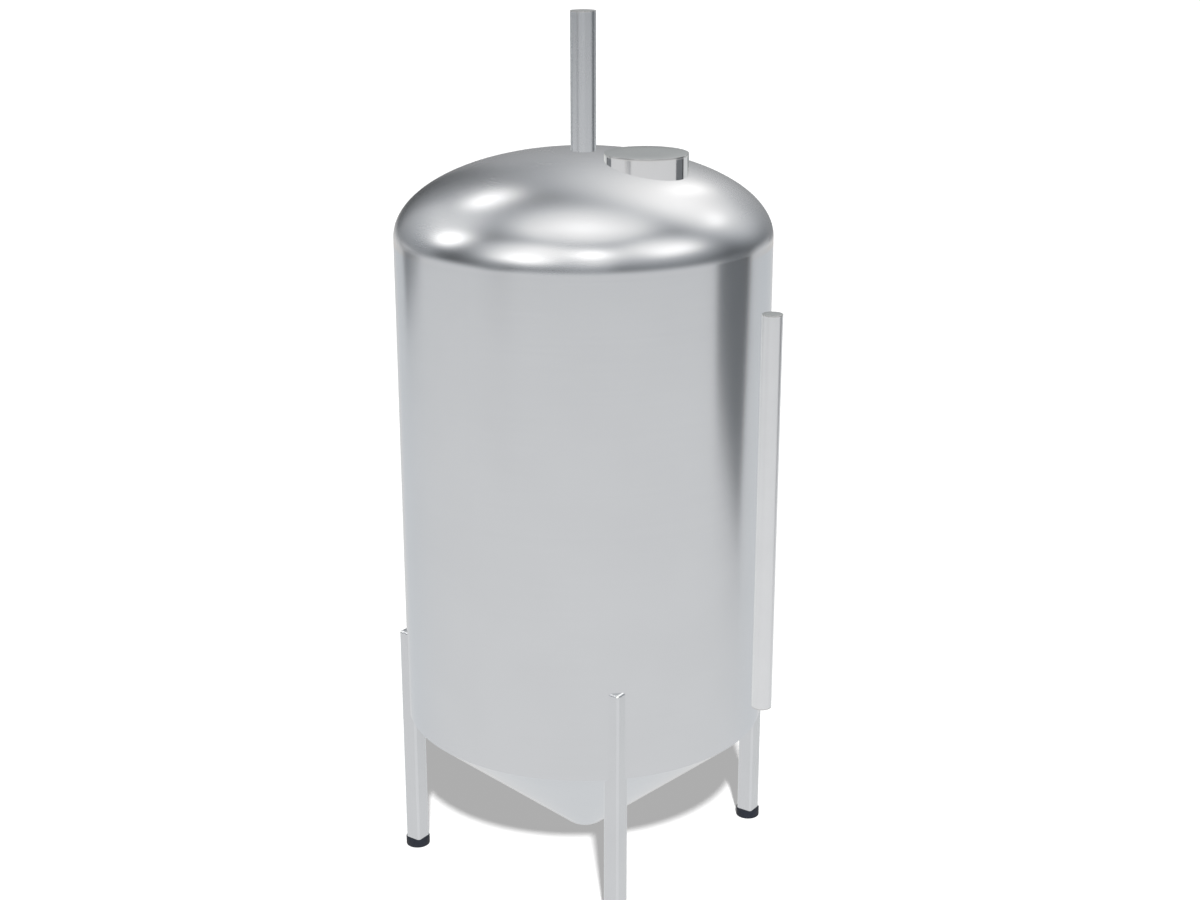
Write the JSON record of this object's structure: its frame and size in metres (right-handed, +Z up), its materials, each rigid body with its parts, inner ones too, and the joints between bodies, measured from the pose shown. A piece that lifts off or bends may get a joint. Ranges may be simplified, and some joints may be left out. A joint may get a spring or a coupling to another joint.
{
  "type": "degassing silo",
  "caption": "Upright stainless steel silo with a dished head, vent pipe, manhole, side tube and coned bottom, on square legs with round black feet.",
  "frame": {"origin": "on the floor, on the vessel's axis, midway between the four feet", "axes": "+Z up along the vessel's axis, -Y towards the front leg, +X towards the right leg; the manhole lies between them at -45 degrees"},
  "size_m": [2.19, 2.19, 4.913],
  "materials": {
    "polished_head": "mirror-polished stainless steel",
    "satin_shell": "smooth satin stainless steel",
    "satin_cone": "smooth satin stainless steel",
    "drawn_pipe": "polished stainless pipe",
    "cut_plate": "ground stainless plate",
    "ground_leg": "ground stainless hollow section",
    "black_foot": "matte black rubber"
  },
  "bodies": {
    "root": {"shell_plate_lower_1": "satin_shell", "shell_plate_lower_2": "satin_shell", "shell_plate_lower_3": "satin_shell", "shell_plate_lower_4": "satin_shell", "shell_plate_upper_1": "satin_shell", "shell_plate_upper_2": "satin_shell", "shell_plate_upper_3": "satin_shell", "shell_plate_upper_4": "satin_shell", "top_head": "polished_head", "vent_pipe": "drawn_pipe", "vent_end_plate": "cut_plate", "manhole_neck": "drawn_pipe", "manhole_cover": "cut_plate", "cone_plate_1": "satin_cone", "cone_plate_2": "satin_cone", "cone_plate_3": "satin_cone", "cone_plate_4": "satin_cone", "cone_tip": "satin_cone", "leg_front": "ground_leg", "leg_right": "ground_leg", "leg_back": "ground_leg", "leg_left": "ground_leg", "leg_cap_front": "ground_leg", "leg_cap_right": "ground_leg", "leg_cap_back": "ground_leg", "leg_cap_left": "ground_leg", "foot_front": "black_foot", "foot_right": "black_foot", "foot_back": "black_foot", "foot_left": "black_foot", "side_tube": "drawn_pipe", "side_tube_bottom_plate": "cut_plate", "side_tube_top_plate": "cut_plate"}
  },
  "joints": []
}
